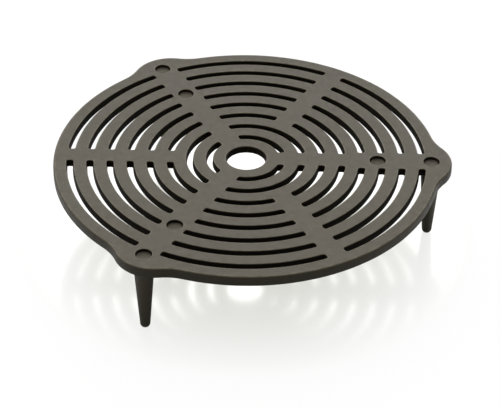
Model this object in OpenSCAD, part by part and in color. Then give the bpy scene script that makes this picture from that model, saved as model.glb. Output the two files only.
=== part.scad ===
// Footed grill grate: a round slotted cast-iron plate that stands on three tapered feet.
// Origin: axis of the centre hole, in the plane of the top face. +Z is up, +X points to one lug.

/* [Plate] */
// Radius of the round plate
plate_r = 145; // [144:0.5:150]
// Thickness of the slotted web
web_t = 6; // [5:0.5:7]
// Depth of the rim that runs round the plate
rim_t = 8.2; // [7.6:0.1:9]
// Width of the rim below the web
rim_w = 6.5; // [5:0.5:8]
// Radius of the hole in the centre
hole_r = 15; // [12:0.5:18]

/* [Slots] */
// Distance between one ring of slots and the next
ring_pitch = 15; // [14.8:0.1:15]
// Number of rings of slots
rings = 8; // [5:1:8]
// Radius of the middle of the innermost ring of slots
first_ring_r = 27.5; // [25:0.5:28]
// Width of a slot at the top face
slot_w = 5.2; // [4.6:0.1:5.6]
// How much narrower a slot is at the bottom face
slot_draft = 1; // [0.4:0.1:1.4]
// Rings, counted from the centre, that only the three lug spokes cross
open_rings = 2; // [1:1:3]

/* [Spokes] */
// Width of a lug spoke between the inner rings of slots
lug_spoke_inner_w = 16; // [14:0.2:18]
// Width of a lug spoke between the outer rings of slots
lug_spoke_outer_w = 20; // [18:0.2:22]
// Width of a spoke that has no lug
plain_spoke_w = 15; // [12:0.5:18]

/* [Lugs] */
// Distance from the centre to the tip of a lug
lug_reach = 155; // [154:0.5:158]
// Radius of the tip of a lug
lug_tip_r = 30; // [28:1:32]
// Radius of the hollow that blends a lug into the rim
lug_blend_r = 40; // [35:1:45]

/* [Seats] */
// Radius of the circle of seats over the feet
outer_seat_circle_r = 139.5; // [138.5:0.5:140.5]
// Radius of the circle of seats between the rings of slots
inner_seat_circle_r = 99; // [97:0.5:101]
// Radius of a seat
seat_r = 6.2; // [5.6:0.1:6.6]
// Depth of a seat
seat_depth = 3.4; // [2.8:0.1:3.8]

/* [Feet] */
// Height of the top face above the ground
height = 66; // [50:1:90]
// Radius of the top of a foot
foot_top_r = 7.5; // [7:0.1:8]
// Radius of the round end of a foot
foot_end_r = 3.8; // [3.4:0.1:4.6]
// Depth of the flat worn on the end of a foot
foot_flat = 0.4; // [0.2:0.1:0.8]
// Radius of the boss that a foot screws up against
boss_r = 8; // [7.8:0.1:8.8]
// Height of the boss below the rim
boss_h = 3.3; // [2.8:0.1:4]

/* [Studs] */
// Radius of a stud
stud_r = 3; // [2.5:0.5:4]
// Length of a stud
stud_length = 18; // [16:1:22]
// Length of a stud that sits in the plate
stud_in_plate = 6.3; // [5.6:0.1:6.4]

/* [Hidden] */

// A small overlap that lets cutters pass through a face
past = 1;
// Space left at each end of a stud
stud_gap = 0.2;
// The pad that carries a seat and a boss below the web
pad_r = 10;

lug_angles = [0, 120, 240];
plain_angles = [60, 180, 300];
lug_centre = lug_reach - lug_tip_r;
boss_bottom = -rim_t - boss_h;
foot_end_z = -height + foot_end_r - foot_flat;

// Centre of the hollow that touches the rim and the tip of a lug
to_rim = plate_r + lug_blend_r;
to_tip = lug_tip_r + lug_blend_r;
blend_x = (to_rim * to_rim - to_tip * to_tip + lug_centre * lug_centre) / (2 * lug_centre);
blend_y = sqrt(to_rim * to_rim - blend_x * blend_x);
rim_touch = [blend_x, blend_y] * plate_r / to_rim;
tip_touch = [lug_centre, 0] + [blend_x - lug_centre, blend_y] * lug_tip_r / to_tip;

$fn = 96;

// The outer edge of the plate with its three lugs
module outline() {
    difference() {
        union() {
            circle(r = plate_r, $fn = 360);
            for (a = lug_angles) rotate(a) {
                translate([lug_centre, 0]) circle(r = lug_tip_r);
                polygon([
                    [lug_centre, 0], tip_touch, rim_touch, [0, 0],
                    [rim_touch.x, -rim_touch.y], [tip_touch.x, -tip_touch.y]
                ]);
                for (s = [-1, 1]) polygon([
                    [tip_touch.x, s * tip_touch.y],
                    [rim_touch.x, s * rim_touch.y],
                    [blend_x, s * blend_y]
                ]);
            }
        }
        for (a = lug_angles, s = [-1, 1])
            rotate(a) translate([blend_x, s * blend_y]) circle(r = lug_blend_r);
    }
}

// A tapered bar along +X that a ring of slots leaves standing; it passes the cutter of the ring at both faces
module spoke(w) {
    slope = slot_draft / 2 / web_t;
    top = w / 2 - slope * 2 * past;
    bottom = w / 2 + slope * (web_t + 2 * past);
    rotate([90, 0, 90]) linear_extrude(height = plate_r)
        polygon([[-top, 2 * past], [top, 2 * past], [bottom, -web_t - 2 * past], [-bottom, -web_t - 2 * past]]);
}

// One ring of slots, wider at the top than at the bottom
module slot_ring(i) {
    mid = first_ring_r + i * ring_pitch;
    slope = slot_draft / 2 / web_t;
    top = slot_w / 2 + slope * past;
    bottom = slot_w / 2 - slope * (web_t + past);
    difference() {
        rotate_extrude($fn = 360) polygon([
            [mid - top, past], [mid + top, past],
            [mid + bottom, -web_t - past], [mid - bottom, -web_t - past]
        ]);
        for (a = lug_angles)
            rotate(a) spoke(i < rings / 2 ? lug_spoke_inner_w : lug_spoke_outer_w);
        if (i >= open_rings) for (a = plain_angles) rotate(a) spoke(plain_spoke_w);
    }
}

module grate_plate() {
    color("dimgray") difference() {
        union() {
            translate([0, 0, -rim_t]) linear_extrude(height = rim_t) outline();
            for (a = lug_angles) rotate(a) translate([outer_seat_circle_r, 0, boss_bottom])
                cylinder(r = boss_r, h = boss_h + past);
        }
        translate([0, 0, -rim_t - past]) linear_extrude(height = rim_t - web_t + past) difference() {
            circle(r = plate_r - rim_w, $fn = 360);
            for (a = lug_angles) rotate(a) translate([outer_seat_circle_r, 0]) circle(r = pad_r);
        }
        for (i = [0 : rings - 1]) slot_ring(i);
        translate([0, 0, -web_t - past]) cylinder(r = hole_r, h = web_t + 2 * past);
        for (a = lug_angles) rotate(a) {
            for (r = [inner_seat_circle_r, outer_seat_circle_r])
                translate([r, 0, -seat_depth]) cylinder(r = seat_r, h = seat_depth + past);
            translate([outer_seat_circle_r, 0, boss_bottom - past])
                cylinder(r = stud_r, h = stud_in_plate + stud_gap + past);
        }
    }
}

// A tapered foot below its lug, drilled from above for its stud
module foot(a) {
    color([0.16, 0.15, 0.14]) rotate(a) translate([outer_seat_circle_r, 0, 0]) difference() {
        union() {
            translate([0, 0, foot_end_z])
                cylinder(r1 = foot_end_r, r2 = foot_top_r, h = boss_bottom - foot_end_z);
            translate([0, 0, foot_end_z]) sphere(r = foot_end_r);
        }
        translate([0, 0, boss_bottom - stud_length + stud_in_plate - stud_gap])
            cylinder(r = stud_r, h = stud_length);
        translate([0, 0, -height - foot_end_r]) cylinder(r = foot_top_r, h = foot_end_r);
    }
}

// A steel stud, half in the plate and half in the foot
module stud(a) {
    color("silver") rotate(a)
        translate([outer_seat_circle_r, 0, boss_bottom + stud_in_plate - stud_length])
            cylinder(r = stud_r, h = stud_length);
}

grate_plate();
foot(0);  // right_foot
foot(120);  // back_left_foot
foot(240);  // front_left_foot
stud(0);  // right_stud
stud(120);  // back_left_stud
stud(240);  // front_left_stud
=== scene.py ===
"""A footed grill grate of black cast iron on a white studio floor.

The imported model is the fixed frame. The plate and the feet get meshes with rounded, slightly uneven
cast edges in place of the sharp solids, and every piece gets a procedural finish.
Lengths are in millimetres in the frame's own axes until a mesh is made.
"""
import math

import bmesh
import bpy
import numpy as np
from mathutils import Matrix, Vector, noise
from mathutils.geometry import delaunay_2d_cdt


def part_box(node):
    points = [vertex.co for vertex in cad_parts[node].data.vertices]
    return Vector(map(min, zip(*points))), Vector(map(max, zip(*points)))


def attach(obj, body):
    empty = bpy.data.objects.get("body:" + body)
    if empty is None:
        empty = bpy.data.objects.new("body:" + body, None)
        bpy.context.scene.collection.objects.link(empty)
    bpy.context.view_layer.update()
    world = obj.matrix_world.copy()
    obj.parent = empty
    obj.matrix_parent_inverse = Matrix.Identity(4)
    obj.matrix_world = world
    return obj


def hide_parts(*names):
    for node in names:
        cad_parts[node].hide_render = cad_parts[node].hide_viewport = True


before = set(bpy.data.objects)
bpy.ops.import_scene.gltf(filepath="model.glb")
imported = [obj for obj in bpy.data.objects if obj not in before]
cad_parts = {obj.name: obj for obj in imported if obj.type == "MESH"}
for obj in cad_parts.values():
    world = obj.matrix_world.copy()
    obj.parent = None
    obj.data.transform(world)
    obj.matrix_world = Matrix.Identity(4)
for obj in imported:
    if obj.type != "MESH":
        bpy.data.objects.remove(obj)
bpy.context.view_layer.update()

MM = 0.001

# Sizes read from the frame
plate_low, plate_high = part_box("grate_plate")
foot_low, foot_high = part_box("right_foot")
PLATE_R = -plate_low.x / MM
BOSS_BOTTOM = plate_low.z / MM
FOOT_TOP_R = foot_high.y / MM
GROUND = foot_low.z / MM
FOOT_CIRCLE_R = (foot_low.x + foot_high.x) / 2 / MM

# Plate
WEB_T = 6.0
RIM_T = 8.2
RIM_W = 6.5
HOLE_R = 15.0
LUG_ANGLES = (0, 120, 240)
PLAIN_ANGLES = (60, 180, 300)
LUG_REACH = 154.95
LUG_TIP_R = 30.0
LUG_BLEND_R = 40.0
PAD_R = 10.0
BOSS_R = 8.0
STUD_R = 3.0
STUD_HOLE_DEPTH = 6.5

# Slots
RINGS = 8
FIRST_RING_R = 27.5
RING_PITCH = 15.0
SLOT_W = 5.0
SLOT_CORNER_R = 1.6
OPEN_RINGS = 2
LUG_SPOKE_INNER_W = 16.0
LUG_SPOKE_OUTER_W = 20.0
PLAIN_SPOKE_W = 15.0

# Seats
INNER_SEAT_CIRCLE_R = 99.0
SEAT_R = 6.0
SEAT_DEPTH = 3.4
SEAT_DISH = 0.7
SEAT_LEAN = 0.3
SEAT_FILLET = 0.9

# Foot
FOOT_END_R = 3.8
FOOT_FLAT = 0.4
# The small bevel round the top of a foot
FOOT_BEVEL = 0.5
# Distance from the bottom of a stud's hole in the plate to the bottom of its hole in the foot
STUD_SPACE = 18.4

# Roundings of the cast edges, and how far a wall leans between its top and its bottom
RIM_TOP_ROUND = 1.6
RIM_BOTTOM_ROUND = 0.9
SLOT_TOP_ROUND = 0.8
SLOT_BOTTOM_ROUND = 0.7
SLOT_LEAN = 0.45
HOLE_TOP_ROUND = 1.0
SEAT_TOP_ROUND = 0.6
SMALL_ROUND = 0.6
BOSS_ROUND = 0.4
POCKET_FILLET = 2.0
# Width of the flat band that keeps a flat face flat beside a rounding
BAND = 0.3

# Fineness of the curves, in degrees, and steps in a quarter round
PLAN_STEP = 1.5
ROUND_STEPS = 5
CORNER_STEPS = 4
LUG_BLEND_STEPS = 12
LUG_TIP_STEPS = 28
PAD_STEPS = 24
POCKET_FILLET_STEPS = 5
SEAT_STEPS = 48
BOSS_STEPS = 64
HOLE_STEPS = 120
FOOT_STEPS = 64
FOOT_LENGTH_STEPS = 14
FOOT_END_STEPS = 8

# Painted light of a ring of vertices: a rounded edge with a painted highlight, or a worn foot tip, is 1, a
# flat face 0, and a wall inside a recess is marked apart for a painted shade
PAINTED_SHADE_MARK = -1.0
HIGHLIGHT_TILT = 22.0
HIGHLIGHT_SPREAD = 34.0
# How many rows of a quarter round belong to the wall of a recess and get its painted shade, at its top edge
# and at its foot
RECESS_ROWS_TOP = 2
RECESS_ROWS_FOOT = 3

# Unevenness of the casting, the same in every run
SEED = 7
WAVE_LENGTH = 11.0
WAVE_PLAN = 0.06
WAVE_HEIGHT = 0.02
WAVE_FOOT = 0.04

# Colours and finish of the iron
IRON_TONE = (0.0175, 0.0155, 0.0115)
# The walls inside the slots, the hole and the seats get a darker tone: a painted shade
RECESS_PAINTED_SHADE = (0.006, 0.005, 0.003)
FOOT_TONE = (0.026, 0.0225, 0.016)
IRON_REFLECTION = (1.0, 0.89, 0.65, 1)
# The last of these lightens the marked edges: a painted highlight, and wear at the tips of the feet
DARKEST, LIGHTEST, HIGHLIGHT_WEAR_GAIN = 0.6, 1.45, 11.0

# Floor and light
FLOOR_HALF = 3.0
IMAGE_SHARE = 0.25
IMAGE_START, IMAGE_END = 0.09, 0.185
SHADE_START, SHADE_END = 0.09, 0.19
WORLD_FILL = 0.13
WORLD_SEEN = 1.0


class Loop:
    """A closed run of points in plan, with the direction into the iron at each point."""

    def __init__(self):
        self.points = []
        self.inward = []

    def arc(self, centre, radius, start, end, steps, iron):
        """Adds an arc from start to end in degrees, without its last point.
        iron is 1 where the iron lies outside the arc, and -1 where it lies inside."""
        for k in range(steps):
            t = math.radians(start + (end - start) * k / steps)
            way = np.array([math.cos(t), math.sin(t)])
            self.points.append(np.asarray(centre) + radius * way)
            self.inward.append(iron * way)

    def offset(self, distance):
        return np.array(self.points) + distance * np.array(self.inward)


def plan_steps(start, end):
    """How many chords an arc in plan gets."""
    return max(2, math.ceil(abs(end - start) / PLAN_STEP))


def at_angle(point, degrees):
    """A point in plan, turned about the centre of the plate."""
    t = math.radians(degrees)
    x, y = point
    return np.array([x * math.cos(t) - y * math.sin(t), x * math.sin(t) + y * math.cos(t)])


def direction(point):
    """The angle of a vector in plan, in degrees."""
    return math.degrees(math.atan2(point[1], point[0]))


def circle_loop(centre, radius, steps):
    loop = Loop()
    loop.arc(centre, radius, 0, 360, steps, 1)
    return loop


def slot_loop(inner_r, outer_r, start, start_w, end, end_w):
    """The wall of one slot between two spokes, at the angles start and end, of widths start_w and end_w."""
    def corner(reach, spoke, width, side):
        y = width / 2 + SLOT_CORNER_R
        x = math.sqrt(reach * reach - y * y)
        return at_angle((x, side * y), spoke)

    inner_reach = inner_r + SLOT_CORNER_R
    outer_reach = outer_r - SLOT_CORNER_R
    first_in = corner(inner_reach, start, start_w, 1)
    first_out = corner(outer_reach, start, start_w, 1)
    last_out = corner(outer_reach, end, end_w, -1)
    last_in = corner(inner_reach, end, end_w, -1)

    def near(angle, reference):
        """The same angle, within half a turn of the reference."""
        return angle + 360 * round((reference - angle) / 360)

    a_in = near(direction(first_in), start)
    a_out = near(direction(first_out), start)
    b_out = near(direction(last_out), end)
    b_in = near(direction(last_in), end)
    loop = Loop()
    loop.arc(first_in, SLOT_CORNER_R, a_in + 180, start + 270, CORNER_STEPS, 1)
    loop.arc(first_in, SLOT_CORNER_R, start + 270, start + 271, 1, 1)
    loop.arc(first_out, SLOT_CORNER_R, start - 90, a_out, CORNER_STEPS, 1)
    loop.arc((0, 0), outer_r, a_out, b_out, plan_steps(a_out, b_out), 1)
    loop.arc(last_out, SLOT_CORNER_R, b_out, end + 90, CORNER_STEPS, 1)
    loop.arc(last_out, SLOT_CORNER_R, end + 90, end + 91, 1, 1)
    loop.arc(last_in, SLOT_CORNER_R, end + 90, b_in + 180, CORNER_STEPS, 1)
    loop.arc((0, 0), inner_r, b_in, a_in, plan_steps(a_in, b_in), -1)
    return loop


def outline_loop():
    """The outer edge of the plate: the round rim with its three lugs."""
    lug_centre = LUG_REACH - LUG_TIP_R
    to_rim = PLATE_R + LUG_BLEND_R
    to_tip = LUG_TIP_R + LUG_BLEND_R
    blend_x = (to_rim ** 2 - to_tip ** 2 + lug_centre ** 2) / (2 * lug_centre)
    blend_y = math.sqrt(to_rim ** 2 - blend_x ** 2)
    rim_angle = direction((blend_x, blend_y))
    tip_angle = direction((blend_x - lug_centre, blend_y))
    loop = Loop()
    for lug in LUG_ANGLES:
        loop.arc(at_angle((blend_x, -blend_y), lug), LUG_BLEND_R,
                 lug + 180 - rim_angle, lug + 180 - tip_angle, LUG_BLEND_STEPS, 1)
        loop.arc(at_angle((lug_centre, 0), lug), LUG_TIP_R,
                 lug - tip_angle, lug + tip_angle, LUG_TIP_STEPS, -1)
        loop.arc(at_angle((blend_x, blend_y), lug), LUG_BLEND_R,
                 lug + 180 + tip_angle, lug + 180 + rim_angle, LUG_BLEND_STEPS, 1)
        first = lug + rim_angle
        last = lug + 120 - rim_angle
        loop.arc((0, 0), PLATE_R, first, last, plan_steps(first, last), -1)
    return loop


def pocket_loop():
    """The inner wall of the rim below the web, with the three pads that stand into it."""
    pocket_r = PLATE_R - RIM_W
    reach = pocket_r - POCKET_FILLET
    to_pad = PAD_R + POCKET_FILLET
    x = (reach ** 2 - to_pad ** 2 + FOOT_CIRCLE_R ** 2) / (2 * FOOT_CIRCLE_R)
    y = math.sqrt(reach ** 2 - x ** 2)
    wall_angle = direction((x, y))
    pad_angle = direction((x - FOOT_CIRCLE_R, y))
    loop = Loop()
    for lug in LUG_ANGLES:
        loop.arc(at_angle((x, -y), lug), POCKET_FILLET,
                 lug - wall_angle, lug + 180 - pad_angle, POCKET_FILLET_STEPS, 1)
        loop.arc(at_angle((FOOT_CIRCLE_R, 0), lug), PAD_R,
                 lug + 360 - pad_angle, lug + pad_angle, PAD_STEPS, -1)
        loop.arc(at_angle((x, y), lug), POCKET_FILLET,
                 lug + pad_angle - 180, lug + wall_angle, POCKET_FILLET_STEPS, 1)
        first = lug + wall_angle
        last = lug + 120 - wall_angle
        loop.arc((0, 0), pocket_r, first, last, plan_steps(first, last), 1)
    return loop


def rounded_over(radius, z, offset=0.0, recess=False):
    """The quarter round from a flat face down to a wall: (offset into the iron, height, painted light: a
    painted highlight on the edge, or the mark of a recess's painted shade).
    """
    rows = [(offset + radius + BAND, z, 0.0)]
    for k in range(ROUND_STEPS + 1):
        tilt = 90 * k / ROUND_STEPS
        t = math.radians(tilt)
        painted_light_and_wear = max(0.0, 1 - abs(tilt - HIGHLIGHT_TILT) / HIGHLIGHT_SPREAD)
        if recess and k > ROUND_STEPS - RECESS_ROWS_TOP:
            painted_light_and_wear = PAINTED_SHADE_MARK
        rows.append((offset + radius * (1 - math.sin(t)), z - radius * (1 - math.cos(t)), painted_light_and_wear))
    return rows


def rounded_under(radius, z, offset, recess=False):
    """The quarter round from a wall to a flat face below it."""
    return [(d, 2 * z - h, painted_light_and_wear) for d, h, painted_light_and_wear in reversed(rounded_over(radius, z, offset, recess))]


def filleted(radius, z, offset, recess=False):
    """The hollow quarter round from a wall down to a floor that lies on the open side of the wall."""
    rows = []
    for k in range(ROUND_STEPS + 1):
        t = math.radians(90 * k / ROUND_STEPS)
        painted_light_and_wear = PAINTED_SHADE_MARK if recess and k < RECESS_ROWS_FOOT else 0.0
        rows.append((offset - radius * (1 - math.cos(t)), z + radius * (1 - math.sin(t)), painted_light_and_wear))
    rows.append((offset - radius - BAND, z, 0.0))
    return rows


class Shell:
    """Collects the vertices and faces of one closed piece."""

    def __init__(self):
        self.points = []
        self.painted_light_and_wear = []
        self.faces = []
        self.painted_shade_faces = set()

    def ring(self, plan, z, painted_light_and_wear=0.0):
        """Adds a ring of vertices and gives their numbers."""
        first = len(self.points)
        self.points += [(x, y, z) for x, y in plan]
        self.painted_light_and_wear += [painted_light_and_wear] * len(plan)
        return list(range(first, len(self.points)))

    def strip(self, a, b):
        """Joins two rings of equal length with quads."""
        n = len(a)
        if self.painted_light_and_wear[a[0]] == PAINTED_SHADE_MARK and self.painted_light_and_wear[b[0]] == PAINTED_SHADE_MARK:
            self.painted_shade_faces.update(range(len(self.faces), len(self.faces) + n))
        self.faces += [(a[i], a[(i + 1) % n], b[(i + 1) % n], b[i]) for i in range(n)]

    def sweep(self, loop, rows):
        """Joins the rings of a profile and gives the first and the last."""
        rings = [self.ring(loop.offset(d), z, painted_light_and_wear) for d, z, painted_light_and_wear in rows]
        for a, b in zip(rings, rings[1:]):
            self.strip(a, b)
        return rings[0], rings[-1]

    def fan(self, ring, centre):
        """Closes a ring at a middle point."""
        self.points.append(centre)
        self.painted_light_and_wear.append(0.0)
        middle = len(self.points) - 1
        n = len(ring)
        self.faces += [(ring[i], ring[(i + 1) % n], middle) for i in range(n)]

    def fill(self, outer, holes):
        """Closes the flat face between an outer ring and the rings of its holes."""
        rings = [outer, *holes]
        number = [i for ring in rings for i in ring]
        flat = [Vector(self.points[i][:2]) for i in number]
        loops = []
        first = 0
        for ring in rings:
            loops.append(list(range(first, first + len(ring))))
            first += len(ring)
        points, _, triangles, _, _, parents = delaunay_2d_cdt(flat, [], loops, 0, 1e-7)
        assert len(points) == len(flat), "two edges of a flat face cross"
        self.faces += [tuple(number[i] for i in t) for t, p in zip(triangles, parents) if p == [0]]

    def build(self, name):
        """Makes the object, in metres, with its faces turned outwards and shaded smooth."""
        mesh = bpy.data.meshes.new(name)
        mesh.from_pydata([Vector(p) * MM for p in self.points], [], self.faces)
        mesh.attributes.new("painted_light_and_wear", "FLOAT", "POINT").data.foreach_set("value", self.painted_light_and_wear)
        work = bmesh.new()
        work.from_mesh(mesh)
        bmesh.ops.recalc_face_normals(work, faces=work.faces)
        for number, face in enumerate(work.faces):
            face.smooth = True
            # Faces of a recess's walls take the second material, a darker copy of the iron: a painted shade
            face.material_index = int(number in self.painted_shade_faces)
        work.to_mesh(mesh)
        work.free()
        piece = bpy.data.objects.new(name, mesh)
        bpy.context.scene.collection.objects.link(piece)
        return piece


def uneven(shell):
    """Moves every vertex a little, as the sand of the mould does, and never out of the solid's box."""
    for i, p in enumerate(shell.points):
        v = noise.noise_vector(Vector(p) / WAVE_LENGTH)
        shrink = 1 - WAVE_PLAN / PLATE_R
        shell.points[i] = (
            p[0] * shrink + WAVE_PLAN * v.x,
            p[1] * shrink + WAVE_PLAN * v.y,
            p[2] + WAVE_HEIGHT * (v.z - 1),
        )


def slot_loops():
    """Every slot of the plate."""
    loops = []
    for ring in range(RINGS):
        middle = FIRST_RING_R + ring * RING_PITCH
        lug_w = LUG_SPOKE_INNER_W if ring < RINGS / 2 else LUG_SPOKE_OUTER_W
        spokes = [(a, lug_w) for a in LUG_ANGLES]
        if ring >= OPEN_RINGS:
            spokes += [(a, PLAIN_SPOKE_W) for a in PLAIN_ANGLES]
        spokes.sort()
        spokes.append((spokes[0][0] + 360, spokes[0][1]))
        for (start, start_w), (end, end_w) in zip(spokes, spokes[1:]):
            loops.append(slot_loop(middle - SLOT_W / 2, middle + SLOT_W / 2, start, start_w, end, end_w))
    return loops


def through(shell, loop, top_round, lean, bottom_round):
    """An opening through the web: gives its rings in the top and the bottom face."""
    rows = rounded_over(top_round, 0, recess=True) + rounded_under(bottom_round, -WEB_T, -lean, recess=True)
    return shell.sweep(loop, rows)


def seat(shell, centre):
    """A blind round seat with a dished floor: gives its ring in the top face."""
    loop = circle_loop(centre, SEAT_R, SEAT_STEPS)
    floor_z = -SEAT_DEPTH + SEAT_DISH
    edge = rounded_over(SEAT_TOP_ROUND, 0, recess=True)
    top, last = shell.sweep(loop, edge + filleted(SEAT_FILLET, floor_z, -SEAT_LEAN, recess=True))
    flat_r = SEAT_R - SEAT_LEAN - SEAT_FILLET - BAND
    for share in (0.75, 0.5, 0.25):
        z = floor_z - SEAT_DISH * (1 - share * share)
        ring = shell.ring(circle_loop(centre, flat_r * share, SEAT_STEPS).points, z)
        shell.strip(last, ring)
        last = ring
    shell.fan(last, (*centre, -SEAT_DEPTH))
    return top


def boss(shell, centre):
    """The boss over a foot, with the hole of its stud: gives its ring in the underside of the rim."""
    loop = circle_loop(centre, BOSS_R, BOSS_STEPS)
    outside = [(-d, z, painted_light_and_wear) for d, z, painted_light_and_wear in rounded_under(BOSS_ROUND, BOSS_BOTTOM, 0)]
    base = [(-d, -RIM_T - z, painted_light_and_wear) for d, z, painted_light_and_wear in reversed(filleted(SMALL_ROUND, 0, 0))]
    top, last = shell.sweep(loop, base + outside)
    hole = circle_loop(centre, STUD_R, BOSS_STEPS)
    hole_end = BOSS_BOTTOM + STUD_HOLE_DEPTH
    first, end = shell.sweep(hole, [(0.0, BOSS_BOTTOM, 0.0), (0.0, hole_end, 0.0)])
    shell.strip(last, first)
    shell.fan(end, (*centre, hole_end))
    return top


def make_plate():
    """The slotted plate as one casting."""
    shell = Shell()
    rim_rows = rounded_over(RIM_TOP_ROUND, 0) + rounded_under(RIM_BOTTOM_ROUND, -RIM_T, 0)
    rim_top, rim_bottom = shell.sweep(outline_loop(), rim_rows)
    top_holes = []
    web_holes = []
    for loop in slot_loops():
        top, bottom = through(shell, loop, SLOT_TOP_ROUND, SLOT_LEAN, SLOT_BOTTOM_ROUND)
        top_holes.append(top)
        web_holes.append(bottom)
    hole = circle_loop((0, 0), HOLE_R, HOLE_STEPS)
    top, bottom = through(shell, hole, HOLE_TOP_ROUND, SLOT_LEAN, SLOT_BOTTOM_ROUND)
    top_holes.append(top)
    web_holes.append(bottom)
    for lug in LUG_ANGLES:
        for reach in (INNER_SEAT_CIRCLE_R, FOOT_CIRCLE_R):
            top_holes.append(seat(shell, at_angle((reach, 0), lug)))
    rim_holes = [boss(shell, at_angle((FOOT_CIRCLE_R, 0), lug)) for lug in LUG_ANGLES]
    # The profile of the rim's inner wall runs upwards, from the underside of the rim to the web
    wall = [(d, -RIM_T - z, painted_light_and_wear) for d, z, painted_light_and_wear in rounded_over(SMALL_ROUND, 0)]
    hollow = [(d, -WEB_T - z, painted_light_and_wear) for d, z, painted_light_and_wear in filleted(SMALL_ROUND, 0, 0)]
    pocket_low, pocket_high = shell.sweep(pocket_loop(), wall + hollow)
    shell.fill(rim_top, top_holes)
    shell.fill(pocket_high, web_holes)
    shell.fill(rim_bottom, [pocket_low, *rim_holes])
    uneven(shell)
    return shell.build("cast_plate")


def foot_rows():
    """The profile of a foot from the stud's hole down to the flat on its end: (radius, height, painted
    highlight on the top bevel and wear towards the end).
    """
    end_z = GROUND + FOOT_END_R - FOOT_FLAT
    flat_angle = math.degrees(math.asin((FOOT_END_R - FOOT_FLAT) / FOOT_END_R))
    rows = [(STUD_R, BOSS_BOTTOM, 0.0), (FOOT_TOP_R - FOOT_BEVEL, BOSS_BOTTOM, 0.0),
            (FOOT_TOP_R - 0.3 * FOOT_BEVEL, BOSS_BOTTOM - 0.3 * FOOT_BEVEL, 1.0),
            (FOOT_TOP_R - 0.08 * FOOT_BEVEL, BOSS_BOTTOM - FOOT_BEVEL, 0.0)]
    for k in range(1, FOOT_LENGTH_STEPS + 1):
        share = k / FOOT_LENGTH_STEPS
        z = BOSS_BOTTOM - FOOT_BEVEL + (end_z - BOSS_BOTTOM + FOOT_BEVEL) * share
        r = FOOT_TOP_R + (FOOT_END_R - FOOT_TOP_R) * (BOSS_BOTTOM - z) / (BOSS_BOTTOM - end_z)
        rows.append((r, z, 0.0))
    for k in range(1, FOOT_END_STEPS + 1):
        share = k / FOOT_END_STEPS
        t = math.radians(flat_angle * share)
        rows.append((FOOT_END_R * math.cos(t), end_z - FOOT_END_R * math.sin(t), share))
    return rows


def make_foot(name, lug):
    """A tapered foot with a rounded end and the hole of its stud."""
    centre = at_angle((FOOT_CIRCLE_R, 0), lug)
    shell = Shell()
    rings = [shell.ring(circle_loop(centre, r, FOOT_STEPS).points, z, painted_light_and_wear) for r, z, painted_light_and_wear in foot_rows()]
    for a, b in zip(rings, rings[1:]):
        shell.strip(a, b)
    shell.fan(rings[-1], (*centre, GROUND))
    hole_end = BOSS_BOTTOM + STUD_HOLE_DEPTH - STUD_SPACE
    deep = shell.ring(circle_loop(centre, STUD_R, FOOT_STEPS).points, hole_end)
    shell.strip(rings[0], deep)
    shell.fan(deep, (*centre, hole_end))
    for i, p in enumerate(shell.points):
        v = noise.noise_vector(Vector(p) / WAVE_LENGTH)
        shell.points[i] = (p[0] + WAVE_FOOT * v.x, p[1] + WAVE_FOOT * v.y, p[2])
    return shell.build(name)


class Nodes:
    """A short way to write a material's nodes."""

    def __init__(self, name):
        self.material = bpy.data.materials.new(name)
        self.material.use_nodes = True
        self.tree = self.material.node_tree
        self.tree.nodes.clear()

    def add(self, kind, **settings):
        """Adds a node. A setting is a property, an input's value, or another node's output to link."""
        node = self.tree.nodes.new(kind)
        for key, value in settings.items():
            socket = next((s for s in node.inputs if s.name.replace(" ", "_").lower() == key), None)
            if socket is None:
                setattr(node, key, value)
            else:
                self.put(value, socket)
        return node

    def put(self, value, socket):
        """Links another node's output to a socket, or sets the socket's own value."""
        if isinstance(value, bpy.types.NodeSocket):
            self.tree.links.new(value, socket)
        else:
            socket.default_value = value

    def noise(self, place, size, detail, roughness=0.55):
        """Noise with features of about size millimetres, from 0 to 1."""
        node = self.add("ShaderNodeTexNoise", scale=1 / (size * MM), detail=detail, roughness=roughness)
        self.tree.links.new(place, node.inputs["Vector"])
        return node.outputs["Fac"]

    def spread(self, value, low, high, to_low=0.0, to_high=1.0):
        """Maps low..high to to_low..to_high, clamped."""
        node = self.add("ShaderNodeMapRange", value=value, from_min=low, from_max=high,
                        to_min=to_low, to_max=to_high)
        return node.outputs["Result"]

    def math(self, operation, a, b):
        """The result of a sum, product or other operation on two values."""
        node = self.add("ShaderNodeMath", operation=operation)
        for socket, value in zip(node.inputs, (a, b)):
            self.put(value, socket)
        return node.outputs[0]

    def mix(self, share, a, b):
        """Mixes two colours."""
        node = self.add("ShaderNodeMix", data_type="RGBA")
        for socket, value in ((node.inputs[0], share), (node.inputs[6], a), (node.inputs[7], b)):
            self.put(value, socket)
        return node.outputs[2]

    def output(self, shader):
        self.add("ShaderNodeOutputMaterial", surface=shader)
        return self.material


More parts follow.
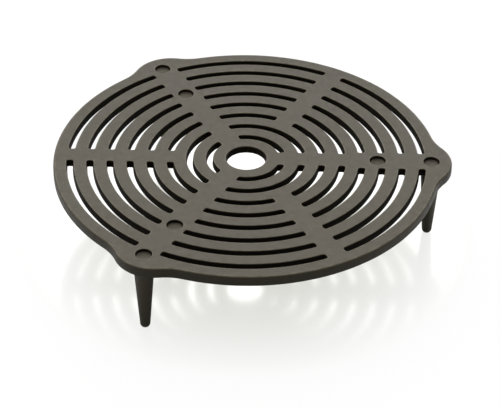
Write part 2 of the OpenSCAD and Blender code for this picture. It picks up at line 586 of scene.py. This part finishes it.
def cast_iron(name, tone, roughness, shine):
    """Black cast iron with the grain of its mould, uneven oil seasoning, and marked edges painted lighter: a
    painted highlight, and wear at the foot tips.
    """
    n = Nodes(name)
    place = n.add("ShaderNodeTexCoord").outputs["Object"]
    cloud = n.noise(place, 34, 3)
    blotch = n.noise(place, 5, 4, 0.6)
    grain = n.noise(place, 0.9, 3, 0.6)
    sand = n.noise(place, 0.45, 2)
    pits = n.add("ShaderNodeTexVoronoi", scale=1 / (1.3 * MM), randomness=1.0)
    n.tree.links.new(place, pits.inputs["Vector"])
    dark = [c * DARKEST for c in tone] + [1]
    light = [c * LIGHTEST for c in tone] + [1]
    highlight_and_wear = [c * HIGHLIGHT_WEAR_GAIN for c in tone] + [1]
    shade = n.math("ADD", n.math("MULTIPLY", cloud, 0.4), n.math("MULTIPLY", grain, 0.6))
    colour = n.mix(n.spread(shade, 0.3, 0.7), dark, light)
    # The marked edges mix towards a lighter colour in patches: a painted highlight, and wear at the foot tips
    painted_light_and_wear = n.add("ShaderNodeAttribute", attribute_name="painted_light_and_wear").outputs["Fac"]
    highlight_and_wear_share = n.math("MULTIPLY", n.spread(painted_light_and_wear, 0.0, 1.0), n.spread(blotch, 0.3, 0.65, 0.4, 1.0))
    colour = n.mix(highlight_and_wear_share, colour, highlight_and_wear)
    rough = n.spread(n.math("ADD", blotch, n.math("MULTIPLY", grain, 0.5)), 0.45, 1.0,
                     roughness + 0.1, roughness - 0.1)
    height = n.math("ADD", n.math("MULTIPLY", grain, 0.6), n.math("MULTIPLY", sand, 0.4))
    fine = n.add("ShaderNodeBump", strength=1.0, distance=0.13 * MM, height=height)
    pit = n.spread(pits.outputs["Distance"], 0.0, 0.35)
    hollow = n.add("ShaderNodeBump", strength=1.0, distance=0.05 * MM, height=pit, normal=fine.outputs[0])
    body = n.add("ShaderNodeBsdfPrincipled", base_color=colour, roughness=rough, normal=hollow.outputs[0])
    body.inputs["Specular IOR Level"].default_value = shine
    body.inputs["Specular Tint"].default_value = IRON_REFLECTION
    return n.output(body.outputs[0])


def stud_steel():
    """Plain turned steel with fine scratches round the shank."""
    n = Nodes("stud_steel")
    place = n.add("ShaderNodeTexCoord").outputs["Object"]
    turned = n.add("ShaderNodeMapping", vector=place, scale=(0.1, 0.1, 1.0))
    lines = n.noise(turned.outputs[0], 0.12, 3)
    colour = n.mix(lines, (0.42, 0.42, 0.43, 1), (0.62, 0.62, 0.63, 1))
    groove = n.add("ShaderNodeBump", strength=0.5, distance=0.01 * MM, height=lines)
    rough = n.spread(lines, 0.3, 0.7, 0.25, 0.4)
    body = n.add("ShaderNodeBsdfPrincipled", base_color=colour, roughness=rough, metallic=1.0,
                 normal=groove.outputs[0])
    return n.output(body.outputs[0])


def studio_floor():
    """A white, slightly glossy floor. The camera sees it white, with the object's shadow, a painted shadow of
    greyish beige round the middle, and faint image.
    From below it is clear, so that the underside of the grate can be looked at."""
    n = Nodes("studio_floor")
    path = n.add("ShaderNodeLightPath")
    plain = n.add("ShaderNodeBsdfDiffuse", color=(0.85, 0.85, 0.84, 1))
    gloss = n.add("ShaderNodeBsdfGlossy", color=(1, 1, 1, 1), roughness=0.15)
    place = n.add("ShaderNodeTexCoord").outputs["Object"]
    reach = n.add("ShaderNodeVectorMath", operation="LENGTH")
    n.tree.links.new(place, reach.inputs[0])
    near = n.spread(reach.outputs["Value"], IMAGE_START, IMAGE_END, IMAGE_SHARE, 0.0)
    fade = n.spread(reach.outputs["Value"], SHADE_START, SHADE_END)
    # The glow that the camera sees is darker and beige round the middle of the floor, under the plate: a
    # painted shadow
    shade = n.mix(fade, (0.93, 0.94, 0.87, 1), (1, 1, 1, 1))
    white = n.add("ShaderNodeEmission", color=shade, strength=1.08)
    lit = n.add("ShaderNodeMixShader", fac=0.85)
    n.tree.links.new(plain.outputs[0], lit.inputs[1])
    n.tree.links.new(white.outputs[0], lit.inputs[2])
    seen = n.add("ShaderNodeMixShader", fac=near)
    n.tree.links.new(lit.outputs[0], seen.inputs[1])
    n.tree.links.new(gloss.outputs[0], seen.inputs[2])
    shown = n.add("ShaderNodeMixShader", fac=path.outputs["Is Camera Ray"])
    n.tree.links.new(plain.outputs[0], shown.inputs[1])
    n.tree.links.new(seen.outputs[0], shown.inputs[2])
    clear = n.add("ShaderNodeBsdfTransparent")
    sided = n.add("ShaderNodeMixShader", fac=n.add("ShaderNodeNewGeometry").outputs["Backfacing"])
    n.tree.links.new(shown.outputs[0], sided.inputs[1])
    n.tree.links.new(clear.outputs[0], sided.inputs[2])
    return n.output(sided.outputs[0])


def make_floor():
    """The plain pale floor that the feet stand on."""
    mesh = bpy.data.meshes.new("floor")
    z = GROUND * MM
    corners = [(FLOOR_HALF * x, FLOOR_HALF * y, z) for x, y in ((-1, -1), (1, -1), (1, 1), (-1, 1))]
    mesh.from_pydata(corners, [], [(0, 1, 2, 3)])
    floor = bpy.data.objects.new("floor", mesh)
    bpy.context.scene.collection.objects.link(floor)
    mesh.materials.append(studio_floor())


def make_world():
    """A dim even light for the object; the camera and the reflections see white."""
    world = bpy.data.worlds.new("studio")
    bpy.context.scene.world = world
    world.use_nodes = True
    tree = world.node_tree
    tree.nodes.clear()
    path = tree.nodes.new("ShaderNodeLightPath")
    either = tree.nodes.new("ShaderNodeMath")
    either.operation = "MAXIMUM"
    tree.links.new(path.outputs["Is Camera Ray"], either.inputs[0])
    tree.links.new(path.outputs["Is Glossy Ray"], either.inputs[1])
    strength = tree.nodes.new("ShaderNodeMapRange")
    strength.inputs["To Min"].default_value = WORLD_FILL
    strength.inputs["To Max"].default_value = WORLD_SEEN
    tree.links.new(either.outputs[0], strength.inputs["Value"])
    background = tree.nodes.new("ShaderNodeBackground")
    tree.links.new(strength.outputs[0], background.inputs["Strength"])
    output = tree.nodes.new("ShaderNodeOutputWorld")
    tree.links.new(background.outputs[0], output.inputs["Surface"])


def softbox(name, azimuth, elevation, distance, width, height, radiance):
    """A rectangular lamp that faces the centre of the plate, with an even radiance."""
    lamp = bpy.data.lights.new(name, "AREA")
    lamp.shape = "RECTANGLE"
    lamp.size = width
    lamp.size_y = height
    lamp.energy = radiance * math.pi * width * height
    a, e = math.radians(azimuth), math.radians(elevation)
    way = Vector((math.sin(a) * math.cos(e), math.cos(a) * math.cos(e), math.sin(e)))
    holder = bpy.data.objects.new(name, lamp)
    holder.location = way * distance
    holder.rotation_euler = way.to_track_quat("Z", "Y").to_euler()
    bpy.context.scene.collection.objects.link(holder)


def make_camera():
    """The photograph's viewpoint: a long lens, 36 degrees above the plate."""
    image_width = 500
    focal_pixels = 2090
    azimuth = math.radians(0.86)
    elevation = math.radians(36.44)
    roll = math.radians(0.71)
    distance = 1573.8
    aside, above = 2.84, -34.97
    back = Vector((math.sin(azimuth) * math.cos(elevation), -math.cos(azimuth) * math.cos(elevation),
                   math.sin(elevation)))
    level = Vector((0, 0, 1)).cross(back).normalized()
    upright = back.cross(level)
    right = math.cos(roll) * level + math.sin(roll) * upright
    up = math.cos(roll) * upright - math.sin(roll) * level
    data = bpy.data.cameras.new("camera")
    data.sensor_width = 36.0
    data.lens = focal_pixels * data.sensor_width / image_width
    data.clip_end = 50
    camera = bpy.data.objects.new("camera", data)
    turn = Matrix((right, up, back)).transposed().to_4x4()
    place = (aside * right + above * up + distance * back) * MM
    camera.matrix_world = Matrix.Translation(place) @ turn
    bpy.context.scene.collection.objects.link(camera)
    bpy.context.scene.camera = camera


make_camera()
make_world()
make_floor()
softbox("overhead", 0, 90, 1.2, 1.2, 1.2, 0.56)
softbox("back_high", 0, 60, 1.3, 1.4, 0.8, 1.8)
softbox("back_low", 0, 34, 1.5, 1.6, 0.6, 2.4)
softbox("left_side", -90, 28, 1.2, 1.0, 0.8, 1.6)
softbox("right_side", 90, 28, 1.2, 1.0, 0.8, 0.8)
bpy.context.scene.view_settings.view_transform = "Standard"

noise.seed_set(SEED)
plate = make_plate()
plate.data.materials.append(cast_iron("plate_iron", IRON_TONE, 0.4, 0.4))
# The second material, darker and duller, is a painted shade on the walls inside the slots, the hole and the
# seats
plate.data.materials.append(cast_iron("recess_iron", RECESS_PAINTED_SHADE, 0.6, 0.08))
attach(plate, "root")
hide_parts("grate_plate")

foot_material = cast_iron("foot_iron", FOOT_TONE, 0.42, 0.6)
for side, angle in zip(("right", "back_left", "front_left"), LUG_ANGLES):
    foot = make_foot("cast_" + side + "_foot", angle)
    foot.data.materials.append(foot_material)
    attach(foot, "root")
    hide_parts(side + "_foot")

steel = stud_steel()
for side in ("right", "back_left", "front_left"):
    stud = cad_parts[side + "_stud"]
    stud.data.materials.clear()
    stud.data.materials.append(steel)
